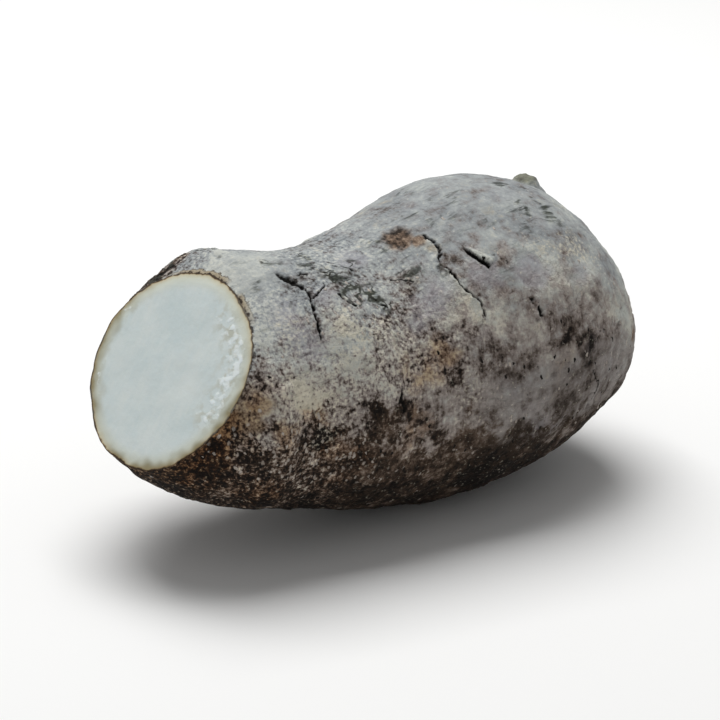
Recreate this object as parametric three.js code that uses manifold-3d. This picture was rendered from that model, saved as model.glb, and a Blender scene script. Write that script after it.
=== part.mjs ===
// A malanga tuber, cut across at the neck and lying on its belly.
// Millimetres, +Z up. The long axis runs along X, with the cut neck at -X and the grown end at +X.
// The origin is on the surface that the tuber lies on, under the middle of its bounding box.

import * as THREE from "three";
import { mergeVertices } from "three/addons/utils/BufferGeometryUtils.js";
import Module from "manifold-3d";

// Upright sections through the body, from the neck to the grown end. top and base are the heights of
// the skin above the surface, side is half of the width, y is how far the section stands off the
// long axis, and lean is how far its top leans on to +Y, and its base the other way. The body is
// grown whole, past the place where the neck is cut.
const SECTIONS = [
  { x: -76, y: 2, lean: 0, top: 44, base: 44, side: 0 },
  { x: -74, y: 2, lean: 0, top: 52, base: 36, side: 8 },
  { x: -68, y: 2.5, lean: 0.5, top: 58, base: 27, side: 15.5 },
  { x: -60, y: 4, lean: 1, top: 62, base: 20, side: 22 },
  { x: -50, y: 4, lean: 2.5, top: 65, base: 15, side: 28.5 },
  { x: -43, y: 3.5, lean: 3.5, top: 67.5, base: 12, side: 32 },
  { x: -36, y: 4.5, lean: 4, top: 70.5, base: 10, side: 31.5 },
  { x: -28, y: 3, lean: 2, top: 70, base: 7.5, side: 31.5 },
  { x: -18, y: 0, lean: 0, top: 69, base: 5, side: 32 },
  { x: -8, y: 0, lean: 0, top: 69, base: 2, side: 33 },
  { x: 9, y: 0, lean: 0, top: 73, base: -1, side: 36 },
  { x: 27, y: 0, lean: 0, top: 77, base: -1, side: 38.5 },
  { x: 44, y: 0, lean: 0, top: 76, base: 2, side: 37.5 },
  { x: 54, y: 0, lean: 0, top: 72, base: 5.5, side: 34.5 },
  { x: 62, y: -1, lean: 0, top: 65, base: 9.5, side: 30.5 },
  { x: 69, y: -1, lean: 0, top: 57, base: 15, side: 24 },
  { x: 74, y: -1, lean: 0, top: 47, base: 24, side: 14 },
  { x: 76, y: -1, lean: 0, top: 36, base: 36, side: 0 },
];

// The knife cut across the neck: a point on it and the way it faces.
const CUT_POINT = new THREE.Vector3(-55.5, 1, 48);
const CUT_FACES = new THREE.Vector3(-0.8, -0.14, 0.59).normalize();

// The resting spot: the belly is pressed flat where it dips under the surface.
const REST_POINT = new THREE.Vector3(0, 0, 0);
const REST_FACES = new THREE.Vector3(0, 0, -1);

// A dormant bud on top of the grown end, a blunt cone whose foot is sunk in the skin. Its outline is
// given as radius and height above the foot.
const BUD = { x: 54.5, y: 2, foot: 67 };
const BUD_OUTLINE = [
  [0, 0],
  [6, 0],
  [5.2, 2.4],
  [3.6, 4.4],
  [3, 6.2],
  [1.8, 7.2],
  [0, 7.5],
];

const BODY_AROUND = 60; // faces round the body
const BODY_ALONG = 64; // faces from end to end
const BUD_AROUND = 24; // faces round the bud
const BLOCK = 400; // side of the blocks that cut the neck and the resting spot
const SAME_POINT = 1e-3; // vertices closer than this are one

const SKIN = { color: 0x857f78, roughness: 0.85, metalness: 0 };

// Smooth runs through the sections: one of x, base and top, the other of y, lean and side.
const heights = new THREE.CatmullRomCurve3(
  SECTIONS.map((s) => new THREE.Vector3(s.x, s.base, s.top)),
  false,
  "catmullrom",
);
const widths = new THREE.CatmullRomCurve3(
  SECTIONS.map((s) => new THREE.Vector3(s.y, s.lean, s.side)),
  false,
  "catmullrom",
);

// The skin's point at a share t of the way from neck to end, and an angle round from the top.
function skinPoint(t, angle) {
  const { x, y: base, z: top } = heights.getPoint(t);
  const { x: y, y: lean, z: side } = widths.getPoint(t);
  const middle = (top + base) / 2;
  const reach = (top - base) / 2;
  const sideways = y + lean * Math.cos(angle) + side * Math.sin(angle);
  return new THREE.Vector3(x, sideways, middle + reach * Math.cos(angle));
}

// One closed mesh: only positions are kept, and corners that meet are joined.
function joined(geometry) {
  geometry.deleteAttribute("normal");
  geometry.deleteAttribute("uv");
  return mergeVertices(geometry, SAME_POINT);
}

// The uncut body: a sphere whose rings are moved out to the sections.
function grownBody() {
  const geometry = new THREE.SphereGeometry(1, BODY_AROUND, BODY_ALONG);
  const place = geometry.getAttribute("position");
  for (let i = 0; i < place.count; i++) {
    const p = new THREE.Vector3().fromBufferAttribute(place, i);
    const t = Math.acos(THREE.MathUtils.clamp(p.y, -1, 1)) / Math.PI;
    const skin = skinPoint(t, Math.atan2(p.x, p.z));
    place.setXYZ(i, skin.x, skin.y, skin.z);
  }
  return joined(geometry);
}

// The bud: its outline turned round an upright axis.
function bud() {
  const outline = BUD_OUTLINE.map(([radius, height]) => new THREE.Vector2(radius, height));
  const geometry = new THREE.LatheGeometry(outline, BUD_AROUND);
  geometry.rotateX(Math.PI / 2);
  geometry.translate(BUD.x, BUD.y, BUD.foot);
  return joined(geometry);
}

// A block that takes away all beyond a plane, given by a point on it and the way it faces.
function blockBeyond(point, faces) {
  const geometry = new THREE.BoxGeometry(BLOCK, BLOCK, BLOCK);
  geometry.translate(0, 0, BLOCK / 2);
  geometry.applyQuaternion(new THREE.Quaternion().setFromUnitVectors(new THREE.Vector3(0, 0, 1), faces));
  geometry.translate(point.x, point.y, point.z);
  return joined(geometry);
}

const wasm = await Module();
wasm.setup();

// A solid that can be cut and joined, from a closed mesh.
function solid(geometry) {
  return new wasm.Manifold(
    new wasm.Mesh({
      numProp: 3,
      vertProperties: new Float32Array(geometry.getAttribute("position").array),
      triVerts: new Uint32Array(geometry.index.array),
    }),
  );
}

// The mesh of a solid.
function meshOf(finished) {
  const { vertProperties, triVerts } = finished.getMesh();
  const geometry = new THREE.BufferGeometry();
  geometry.setAttribute("position", new THREE.BufferAttribute(vertProperties, 3));
  geometry.setIndex(new THREE.BufferAttribute(triVerts, 1));
  geometry.computeVertexNormals();
  return geometry;
}

// The tuber, moved sideways so that the origin is under the middle of its box.
function tuberGeometry() {
  const cut = solid(grownBody())
    .add(solid(bud()))
    .subtract(solid(blockBeyond(CUT_POINT, CUT_FACES)))
    .subtract(solid(blockBeyond(REST_POINT, REST_FACES)));
  const geometry = meshOf(cut);
  geometry.computeBoundingBox();
  const middle = geometry.boundingBox.getCenter(new THREE.Vector3());
  geometry.translate(-middle.x, -middle.y, 0);
  return geometry;
}

const tuber = new THREE.Mesh(tuberGeometry(), new THREE.MeshStandardMaterial(SKIN));
tuber.name = "tuber";

const malanga = new THREE.Group();
malanga.add(tuber);

export default malanga;
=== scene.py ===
"""A malanga tuber, cut across at the neck and lying on its belly.

A stout root with dusty grey-brown skin and a moist, bluish white cut face. It is one piece:
the skin and the flesh are one closed mesh with two finishes.

The tuber's own sizes are in millimetres, and turn into metres when they reach a mesh.
A place on the skin is (along, turn): millimetres along X, and degrees round the tuber from its
top line, growing down the side that faces -Y.
"""
import math
import random

import bmesh
import bpy
import numpy as np
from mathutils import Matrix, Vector, noise
from mathutils.bvhtree import BVHTree


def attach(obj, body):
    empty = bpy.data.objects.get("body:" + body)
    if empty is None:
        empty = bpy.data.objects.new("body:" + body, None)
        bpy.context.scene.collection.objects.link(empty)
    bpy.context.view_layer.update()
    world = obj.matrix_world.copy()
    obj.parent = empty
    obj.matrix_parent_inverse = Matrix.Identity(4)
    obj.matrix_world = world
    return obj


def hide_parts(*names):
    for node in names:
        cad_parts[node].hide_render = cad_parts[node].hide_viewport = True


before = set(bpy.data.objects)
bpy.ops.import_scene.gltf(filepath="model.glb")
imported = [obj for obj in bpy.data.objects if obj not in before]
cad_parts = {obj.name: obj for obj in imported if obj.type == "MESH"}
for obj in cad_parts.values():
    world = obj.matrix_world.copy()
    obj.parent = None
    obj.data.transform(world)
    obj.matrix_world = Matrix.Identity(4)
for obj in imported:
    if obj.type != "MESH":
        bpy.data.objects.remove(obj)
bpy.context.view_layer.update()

MM = 0.001

# The cut across the neck: a point on it and the way it faces.
CUT_POINT = Vector((-58.6, 1.0, 48.0))
CUT_FACES = Vector((-0.8, -0.14, 0.59)).normalized()

# The long axis runs level, at this height, and the last ring of the blank is round this point on it.
AXIS_HEIGHT = 38.0
FAR_RING = Vector((69.0, -1.0, 36.0))
FAR_TIP = Vector((72.9, -1.0, 36.0))

# The blank: a tube of this many sides and rings, and each face halved this many times.
SIDES = 20
RINGS = 11
HALVINGS = 4
BLANK_LENGTH = 120.0

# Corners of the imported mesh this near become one, and the skin is laid from no further off than this.
MERGED_WITHIN = 0.01
LAID_WITHIN = 8.0

# Finishes of the faces. The far end is told apart for the bake map only.
SKIN, FLESH, FAR_END = 0, 1, 2


# ---- handling

def only(piece):
    """Makes this piece the one that the next operator works on."""
    bpy.ops.object.select_all(action="DESELECT")
    piece.select_set(True)
    bpy.context.view_layer.objects.active = piece


def finish_with(piece, kind, **settings):
    """Adds one modifier to a piece and applies it."""
    only(piece)
    modifier = piece.modifiers.new(kind.title(), kind)
    for name, value in settings.items():
        setattr(modifier, name, value)
    bpy.ops.object.modifier_apply(modifier=modifier.name)


def pick(piece, wanted, what):
    """In edit mode, selects the edges or the faces for which wanted() is true."""
    bpy.ops.mesh.select_mode(type={"edges": "EDGE", "faces": "FACE"}[what])
    bpy.ops.mesh.select_all(action="DESELECT")
    mesh = bmesh.from_edit_mesh(piece.data)
    for part in getattr(mesh, what):
        if wanted(part):
            part.select_set(True)
    mesh.select_flush_mode()
    bmesh.update_edit_mesh(piece.data)


def group(piece, name, members):
    """Names a group of vertices of a piece, and returns the name."""
    piece.vertex_groups.new(name=name).add([int(i) for i in members], 1, "REPLACE")
    return name


def read_all(items, name, wide=1, kind=float):
    """One property of all the items of a mesh, as an array."""
    flat = np.empty(len(items) * wide, kind)
    items.foreach_get(name, flat)
    return flat.reshape(-1, wide) if wide > 1 else flat


def corners(piece):
    """The vertices of a piece, in millimetres."""
    return read_all(piece.data.vertices, "co", 3) / MM


def move_corners(piece, points):
    """Puts the vertices of a piece at these places, in millimetres."""
    piece.data.vertices.foreach_set("co", (np.asarray(points) * MM).ravel())
    piece.data.update()


def facing(piece):
    """The way each vertex of a piece faces."""
    return read_all(piece.data.vertex_normals, "vector", 3, np.float32).astype(float)


def in_faces(piece, finish):
    """Which vertices belong to a face with this finish."""
    found = np.zeros(len(piece.data.vertices), bool)
    for face in piece.data.polygons:
        if face.material_index == finish:
            found[list(face.vertices)] = True
    return found


def cut_face(piece):
    """Which vertices of a piece lie on its cut face, and which of them on the rim of it."""
    flesh = in_faces(piece, FLESH)
    return flesh, flesh & in_faces(piece, SKIN)


def between(low, high, values):
    """A smooth step from 0 at low to 1 at high."""
    share = np.clip((values - low) / (high - low), 0, 1)
    return share * share * (3 - 2 * share)


def window(low, high, last, gone, values):
    """1 from high to last, with a smooth step from 0 on either side, at low and at gone."""
    return between(low, high, values) * (1 - between(last, gone, values))


def hump(distance, width):
    """A smooth hump, 1 high at distance 0 and gone at about twice its width."""
    return np.exp(-(distance / width) ** 2)


def grain(points, size, turn_up=0.0):
    """Smooth noise from -1 to 1 at each point, with lumps about size millimetres across."""
    shift = Vector((turn_up * 17.3, turn_up * 5.1, turn_up * 29.7))
    return np.array([noise.noise(Vector(p) / size + shift) for p in points])


def shaken_by(points, size, turn_up):
    """Smooth noise along X, Y and Z at each point."""
    return np.stack([grain(points, size, turn_up + k) for k in range(3)], axis=1)


def apart(points, others, reach):
    """The distance from each point to the nearest of some others, where it is within reach of them."""
    found = np.full(len(points), float(reach))
    inside = ((points > others.min(axis=0) - reach) & (points < others.max(axis=0) + reach)).all(axis=1)
    near = np.flatnonzero(inside)
    for some in np.array_split(near, len(near) // 2000 + 1):
        gaps = np.linalg.norm(points[some, None, :] - others[None, :, :], axis=2)
        found[some] = np.minimum(gaps.min(axis=1), reach)
    return found


def saved(piece, name, values):
    """Keeps one number or vector for each vertex, for the finishes to read."""
    flat = np.asarray(values, np.float32)
    kind = "FLOAT_VECTOR" if flat.ndim == 2 else "FLOAT"
    made = piece.data.attributes.new(name, kind, "POINT")
    made.data.foreach_set("vector" if flat.ndim == 2 else "value", flat.ravel())


# ---- the blank

def packed_tuber():
    """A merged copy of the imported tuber, which the blank is laid on, and its surface to measure from."""
    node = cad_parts["tuber"]
    guide = node.copy()
    guide.data = node.data.copy()
    guide.name = "guide"
    guide.parent = None
    bpy.context.scene.collection.objects.link(guide)
    only(guide)
    bpy.ops.object.mode_set(mode="EDIT")
    bpy.ops.mesh.select_all(action="SELECT")
    bpy.ops.mesh.remove_doubles(threshold=MERGED_WITHIN * MM)
    bpy.ops.object.mode_set(mode="OBJECT")
    surface = BVHTree.FromPolygons(
        [Vector(p) for p in corners(guide)],
        [tuple(face.vertices) for face in guide.data.polygons],
    )
    return guide, surface


guide, surface = packed_tuber()


def on_skin(along, turn):
    """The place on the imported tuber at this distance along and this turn, in millimetres."""
    angle = math.radians(turn)
    outward = Vector((0, -math.sin(angle), math.cos(angle)))
    return surface.ray_cast(Vector((along, 0, AXIS_HEIGHT)), outward)[0]


def away(points, place):
    """How far each point is from a place on the skin."""
    return np.linalg.norm(points - np.array(on_skin(*place)), axis=1)


def turn_of(points):
    """The turn of each point, in radians."""
    return np.arctan2(-points[:, 1], points[:, 2] - AXIS_HEIGHT)


def ring_frame(share):
    """The middle, the upward way and the sideways way of a ring at a share of the length."""
    middle = CUT_POINT.lerp(FAR_RING, 1 - (1 - share) ** 1.25)
    ahead = (-CUT_FACES).slerp(Vector((1, 0, 0)), 1 - (1 - share) ** 1.6)
    side = Vector((0, 0, 1)).cross(ahead).normalized()
    return middle, ahead.cross(side), side


# The ways up and sideways on the cut face.
CUT_UP, CUT_SIDE = (np.array(way) for way in ring_frame(0)[1:])


def rolled_blank():
    """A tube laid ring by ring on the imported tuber, leaning like the cut at the neck, with gridded ends."""
    bpy.ops.mesh.primitive_cylinder_add(
        vertices=SIDES, radius=30 * MM, depth=BLANK_LENGTH * MM, end_fill_type="NOTHING",
        rotation=(0, math.radians(90), 0))
    blank = bpy.context.active_object
    blank.name = "tuber_skin_and_flesh"
    bpy.ops.object.transform_apply(location=False, rotation=True, scale=False)
    bpy.ops.object.mode_set(mode="EDIT")
    pick(blank, lambda e: abs(e.verts[0].co.x - e.verts[1].co.x) > BLANK_LENGTH / 2 * MM, "edges")
    bpy.ops.mesh.subdivide(number_cuts=RINGS - 1)

    mesh = bmesh.from_edit_mesh(blank.data)
    for vertex in mesh.verts:
        share = vertex.co.x / (BLANK_LENGTH * MM) + 0.5
        turn = math.atan2(-vertex.co.y, vertex.co.z)
        middle, up, side = ring_frame(share)
        if share < 0.01:
            middle -= CUT_FACES * 0.05
        vertex.co = surface.ray_cast(middle, up * math.cos(turn) - side * math.sin(turn))[0] * MM
    bmesh.update_edit_mesh(blank.data)

    for end in (-1, 1):
        pick(blank, lambda e: e.is_boundary and e.verts[0].co.x * end > 0, "edges")
        bpy.ops.mesh.fill_grid(span=SIDES // 4)
    bpy.ops.mesh.select_all(action="SELECT")
    bpy.ops.mesh.normals_make_consistent(inside=False)
    pick(blank, lambda f: f.normal.dot(CUT_FACES) > 0.99, "faces")
    bpy.ops.mesh.region_to_loop()
    bpy.ops.transform.edge_crease(value=1)
    bpy.ops.object.mode_set(mode="OBJECT")
    for face in blank.data.polygons:
        if face.normal.dot(CUT_FACES) > 0.99:
            face.material_index = FLESH
        elif face.index >= SIDES * RINGS:
            face.material_index = FAR_END
    return blank


def lay_on_packed(piece, members):
    """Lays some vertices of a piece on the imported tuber, along the way that they face."""
    finish_with(
        piece, "SHRINKWRAP", target=guide, wrap_method="PROJECT", use_negative_direction=True,
        use_positive_direction=True, project_limit=LAID_WITHIN * MM, vertex_group=members)


def on_cut(points):
    """The same points, moved straight onto the plane of the cut."""
    faces = np.array(CUT_FACES)
    off = (points - np.array(CUT_POINT)) @ faces
    return points - off[:, None] * faces


def grown(blank):
    """Smooths the blank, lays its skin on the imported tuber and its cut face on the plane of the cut."""
    finish_with(blank, "SUBSURF", levels=HALVINGS, render_levels=HALVINGS, uv_smooth="NONE")
    flesh, rim = cut_face(blank)
    open_skin = group(blank, "open_skin", np.flatnonzero(~flesh))
    open_flesh = group(blank, "open_flesh", np.flatnonzero(flesh & ~rim))
    lay_on_packed(blank, open_skin)
    points = corners(blank)
    middle = on_cut(points[flesh]).mean(axis=0)
    for i, outward in zip(np.flatnonzero(rim), on_cut(points[rim]) - middle):
        inside = Vector(middle) - CUT_FACES * 0.05
        points[i] = surface.ray_cast(inside, Vector(outward).normalized())[0]
    move_corners(blank, points)
    for _ in range(3):
        finish_with(blank, "SMOOTH", factor=0.5, iterations=12, vertex_group=open_skin)
        lay_on_packed(blank, open_skin)
    finish_with(blank, "SMOOTH", factor=0.5, iterations=40, vertex_group=open_flesh)
    points = corners(blank)
    points[flesh] = on_cut(points[flesh])
    move_corners(blank, points)


# ---- the marks on the skin

# Cracks in the dry skin: places along each one, its width and its depth.
CRACKS = [
    ([(-32.4, 7), (-31.6, 12), (-30.2, 18), (-28.9, 24)], 0.8, 0.9),
    ([(-29.2, 22), (-29, 28), (-30.2, 35), (-30.8, 41), (-31.3, 52)], 0.4, 0.8),
    ([(-29, 29.5), (-26.6, 28), (-23, 23.5)], 0.34, 0.5),
    ([(-29.6, 17), (-27, 14), (-25.6, 17)], 0.3, 0.4),
    ([(-24.5, 9), (-23, 14), (-21, 19), (-20, 25)], 0.3, 0.4),
    ([(-22.8, 31), (-21.6, 36), (-20, 41)], 0.3, 0.35),
    ([(-18, 14), (-15, 17), (-13, 22)], 0.26, 0.3),
    ([(-14.8, 36), (-13.6, 41), (-12, 45)], 0.3, 0.35),
    ([(-8, 31), (-5, 34), (-2, 38)], 0.34, 0.4),
    ([(6.4, 17), (7.8, 22), (8, 28), (5.8, 33), (5.7, 38)], 0.4, 0.6),
    ([(5.8, 35), (7.0, 41), (7.4, 47), (9.8, 54), (10.2, 58), (9.3, 64)], 0.36, 0.6),
    ([(22.8, 58), (24.4, 62), (24.8, 67)], 0.75, 0.8),
    ([(-16.2, 78), (-16.8, 84), (-15.4, 90)], 0.4, 0.4),
    ([(-41, -30), (-45.4, -34), (-49, -46), (-54, -52)], 0.6, 0.4),
    ([(-37, -20), (-41, -34), (-45, -46)], 0.45, 0.3),
    ([(46.4, 1), (47.6, 5), (50.4, 7)], 0.5, 0.3),
    ([(40, 92), (43, 99), (42, 108)], 0.4, 0.5),
    ([(12, -62), (14.5, -68), (13.8, -76), (15.5, -83)], 0.45, 0.7),
    ([(-34, -52), (-31, -60), (-32.5, -69)], 0.45, 0.7),
    ([(-31.8, -60), (-28, -63), (-26.5, -68)], 0.4, 0.5),
    ([(46, -48), (49, -56), (48, -63)], 0.45, 0.5),
    ([(-8, -108), (-4, -114), (-5, -122)], 0.45, 0.5),
    ([(58, -82), (60, -92)], 0.4, 0.5),
    ([(18, 140), (20, 148), (18.6, 156)], 0.4, 0.5),
]

# Leaf scars, the old rings round the tuber: places along each, and the height of its lip.
LEAF_SCARS = [
    ([(5.5, 17), (7.2, 23), (7.4, 29), (5.6, 34), (6.2, 40), (7.6, 46), (9.7, 54), (9.5, 59), (7.4, 65)],
     0.8),
    ([(-1.5, 2), (-3, -16), (-3, -38), (-1, -64), (0.5, -90), (1, -120)], 0.5),
    ([(-35.5, -8), (-37, -30), (-36, -60), (-35, -95)], 0.4),
    ([(-20.4, 34), (-15.2, 44), (-13.6, 54), (-14.4, 70), (-16.5, 88)], 0.3),
    ([(-20, -20), (-18.5, -45), (-18, -75), (-19, -110), (-20, -150)], 0.45),
    ([(20, 46), (24.4, 58), (26, 72), (26, 88), (24, 106)], 0.3),
    ([(21, -28), (19.5, -55), (20, -85), (21.5, -118)], 0.5),
    ([(34.5, 50), (37, 66), (38.5, 84), (38, 104), (36, 130)], 0.3),
    ([(39, -20), (38, -50), (38.5, -84), (40, -125)], 0.45),
    ([(51, 50), (53, 70), (52.5, 92), (51, 118)], 0.3),
    ([(60, 28), (61.5, 60), (61, 104)], 0.3),
    ([(63, 24), (64.5, 60), (64, 106)], 0.34),
    ([(65.5, 20), (67, 60), (66.5, 112)], 0.3),
    ([(55, -15), (55.5, -48), (54, -86), (53, -120)], 0.45),
    ([(-52, 84), (-50.5, 100), (-49, 120), (-48, 150)], 0.35),
]

# Flakes of skin that have lifted: places along the slit under each, and how far and how high its tongue
# reaches.
FLAKES = [
    ([(13, 31), (13.9, 36), (15, 40), (16.4, 43.5)], 3.2, 0.6),
    ([(-12, -42), (-10.5, -48), (-8, -52)], 3.0, 0.7),
    ([(33, -96), (34.5, -102), (37, -106)], 3.4, 0.8),
]

# Where roots have dropped off: place, radius of the scar, and its depth.
ROOT_SCARS = [
    ((2, 14), 4.0, 0.55),
    ((5.2, 20), 2.0, 0.1),
    ((-44, -48), 2.6, 0.8),
    ((30, -64), 3.4, 1.0),
    ((-12, -92), 2.8, 0.8),
    ((58, -38), 2.2, 0.7),
    ((8, -132), 2.6, 0.7),
    ((61, 88), 2.0, 0.4),
]

# The bud near the far end, and how far its foot reaches.
BUD = (51.4, -3)
BUD_REACH = 3.4

# How far a wandering line strays, and how close to a mark the mesh is halved once and twice more.
STRAY = 0.8
HALVED_ONCE, HALVED_TWICE = 0.8, 0.4

# Distances that stand for far from a mark, and for near enough to have the mesh halved once.
FAR, NEARBY = 99.0, 0.6

# About how far a degree of turn reaches on the skin.
DEGREE = 0.6


def line_on_skin(places, step=0.3):
    """A line laid on the skin through a list of places, as points about a step apart."""
    at = np.arange(len(places))
    count = int(sum(math.hypot(a, t * DEGREE) for a, t in np.diff(places, axis=0)) / step) + 2
    fine = np.linspace(0, len(places) - 1, count)
    along, turn = (np.interp(fine, at, column) for column in zip(*places))
    return np.array([on_skin(a, t) for a, t in zip(along, turn)])


def to_line(points, line, reach):
    """Each point's distance from a line, the same with a minus on its -X side, and its share of it."""
    distance, side, share = np.full(len(points), FAR), np.zeros(len(points)), np.zeros(len(points))
    low, high = line.min(axis=0) - reach, line.max(axis=0) + reach
    near = np.flatnonzero(((points > low) & (points < high)).all(axis=1))
    for some in np.array_split(near, len(near) // 4000 + 1):
        gaps = points[some, None, :] - line[None, :, :]
        length = np.linalg.norm(gaps, axis=2)
        best = length.argmin(axis=1)
        distance[some] = length[np.arange(len(some)), best]
        side[some] = gaps[np.arange(len(some)), best, 0]
        share[some] = best / (len(line) - 1)
    return distance, np.where(side > 0, distance, -distance), share


def ends(share, run):
    """1 along a line, fading to 0 over a run at each of its ends."""
    return between(0, run, share) * between(0, run, 1 - share)


def marked(points):
    """The relief of the placed marks, the painted shade in their gaps and hollows, and the pale of their lips
    and tongues, partly painted light, at points on the smooth skin.
    """
    stray = 0.6 * shaken_by(points, 2.2, 1) + 0.5 * shaken_by(points, 0.9, 4)
    strayed = points + STRAY * stray
    broken = grain(points, 5.0, 7)
    ragged = grain(points, 1.6, 8)
    relief, painted_shade, pale_and_lit, scarred = (np.zeros(len(points)) for _ in range(4))
    nearest = np.full(len(points), FAR)

    # The gap of each crack is painted dark, as shade.
    for places, width, depth in CRACKS:
        distance, _, share = to_line(strayed, line_on_skin(places), 4)
        open_by = ends(share, 0.14) * np.clip(0.95 + 0.9 * ragged, 0.2, 1.3)
        gap = hump(distance, width * (0.3 + 0.6 * open_by))
        relief += open_by * (0.2 * hump(distance - 1.5 * width, width) - depth * gap)
        painted_shade = np.maximum(painted_shade, np.clip(1.5 * open_by, 0, 1) * gap)
        nearest = np.minimum(nearest, distance)

    # The crease of each leaf scar is painted dark as shade, and its lip pale, partly as painted light.
    for places, height in LEAF_SCARS:
        distance, offset, share = to_line(strayed, line_on_skin(places, 0.6), 6)
        strength = ends(share, 0.12) * np.clip(0.62 + 0.9 * broken + 0.25 * ragged, 0.05, 1.25)
        lip = np.where(offset < -0.4, hump(offset + 0.4, 1.7), hump(offset + 0.4, 0.45))
        crease = hump(offset - 0.35, 0.42)
        relief += height * strength * (lip - 0.55 * crease)
        painted_shade = np.maximum(painted_shade, 0.8 * height * strength * crease)
        pale_and_lit = np.maximum(pale_and_lit, height * strength * lip)
        nearest = np.minimum(nearest, np.where(height * strength > 0.42, distance, FAR))

    # The slit under each tongue and a line round its tip are painted dark as shade, and the tongue pale,
    # partly as painted light.
    for places, reach, height in FLAKES:
        distance, offset, share = to_line(points + 0.3 * STRAY * stray, line_on_skin(places), 6)
        whole = between(0, 0.25, share) * between(0, 0.1, 1 - share)
        reach = reach * (0.35 + 0.65 * share)
        tongue = whole * between(-0.15, 0.15, offset) * (1 - between(0.4, 1.0, offset / reach))
        slit = whole * hump(offset + 0.35, 0.3 + 0.3 * share)
        relief += height * tongue - 1.5 * height * slit
        tip = 0.6 * whole * between(0.4, 0.9, share) * hump(offset - reach, 0.45)
        painted_shade = np.maximum(painted_shade, np.maximum(slit, tip))
        pale_and_lit = np.maximum(pale_and_lit, tongue)
        nearest = np.minimum(nearest, np.where(offset < 1, distance * 0.5, FAR))

    # A ring just inside the lip of each root scar is painted dark, as shade.
    for place, radius, depth in ROOT_SCARS:
        out = away(strayed, place) / radius * (1 + 0.3 * ragged)
        hollow = 1 - between(0.5, 1.0, out)
        stub = hump(out, 0.45) * (0.7 + 1.2 * ragged)
        lip = hump(out - 1.12, 0.22) * (0.6 + 0.9 * broken)
        relief += depth * (0.4 * lip - 0.7 * hollow + 0.6 * stub)
        painted_shade = np.maximum(painted_shade, 0.5 * hump(out - 0.8, 0.2) * np.clip(0.3 + 2.2 * ragged, 0, 1))
        scarred = np.maximum(scarred, 1 - between(0.6, 1.35, out))
        nearest = np.minimum(nearest, np.where(out < 1.2, NEARBY, FAR))

    nearest = np.minimum(nearest, np.where(away(points, BUD) < BUD_REACH + 1, NEARBY, FAR))
    return {"relief": relief, "painted_shade": painted_shade, "pale_and_lit": pale_and_lit, "scarred": scarred, "nearest": nearest}


def halved_beside_marks(piece, reach):
    """Halves the faces beside the marks and the rim of the cut, so that thin lines have enough mesh."""
    flesh, rim = cut_face(piece)
    near = (marked(corners(piece))["nearest"] < reach) & ~flesh | rim
    only(piece)
    bpy.ops.object.mode_set(mode="EDIT")
    pick(piece, lambda f: any(near[v.index] for v in f.verts), "faces")
    bpy.ops.mesh.subdivide(number_cuts=1, ngon=False)
    bpy.ops.object.mode_set(mode="OBJECT")


# ---- dust, damp and stains

# Dust lies on top of the tuber, and damp with painted shade below it. At each place along, the turn at
# which the dust wears off, and the turn at which the damp and its painted shade begin.
ALONG = [-64, -45, -30, -12, 4, 20, 40, 60, 70]
DUST_ENDS = [66, 54, 46, 40, 38, 46, 54, 64, 50]
DAMP_SHADE_BEGINS = [84, 88, 92, 97, 103, 112, 120, 124, 126]

# How far each of them fades, in degrees either way, and the least distance from the axis at which a turn
# is told, so that they pass below the far tip and don't meet on it.
DUST_FRINGE, DAMP_SHADE_FRINGE = 24, 20
TIP_RADIUS = 22.0
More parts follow.
